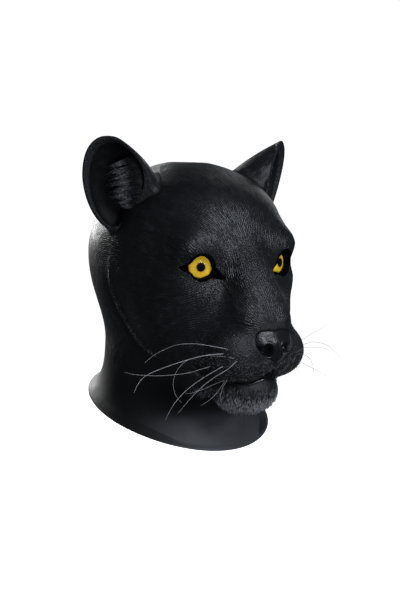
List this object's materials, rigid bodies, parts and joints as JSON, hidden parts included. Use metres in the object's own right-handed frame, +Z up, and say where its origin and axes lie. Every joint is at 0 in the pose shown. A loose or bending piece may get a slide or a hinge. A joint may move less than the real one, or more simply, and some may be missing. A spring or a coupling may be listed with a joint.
{
  "type": "animal head mask",
  "caption": "Hollow full-head black panther mask with upright cupped ears, domed amber eyes, a broad muzzle and a flared neck bib, open below for the wearer's head.",
  "frame": {"origin": "inside of the crown, where the top of the wearer's head rests", "axes": "+Z up through the crown, -Y the way the muzzle points, +X towards the wearer's left ear"},
  "size_m": [0.2532, 0.2672, 0.3156],
  "materials": {
    "black_latex": "satin, with sculpted fur",
    "amber_acrylic": "polished dome over a painted iris"
  },
  "bodies": {
    "root": {"mask_skin": "black_latex", "eye_left": "amber_acrylic", "eye_right": "amber_acrylic"}
  },
  "joints": []
}
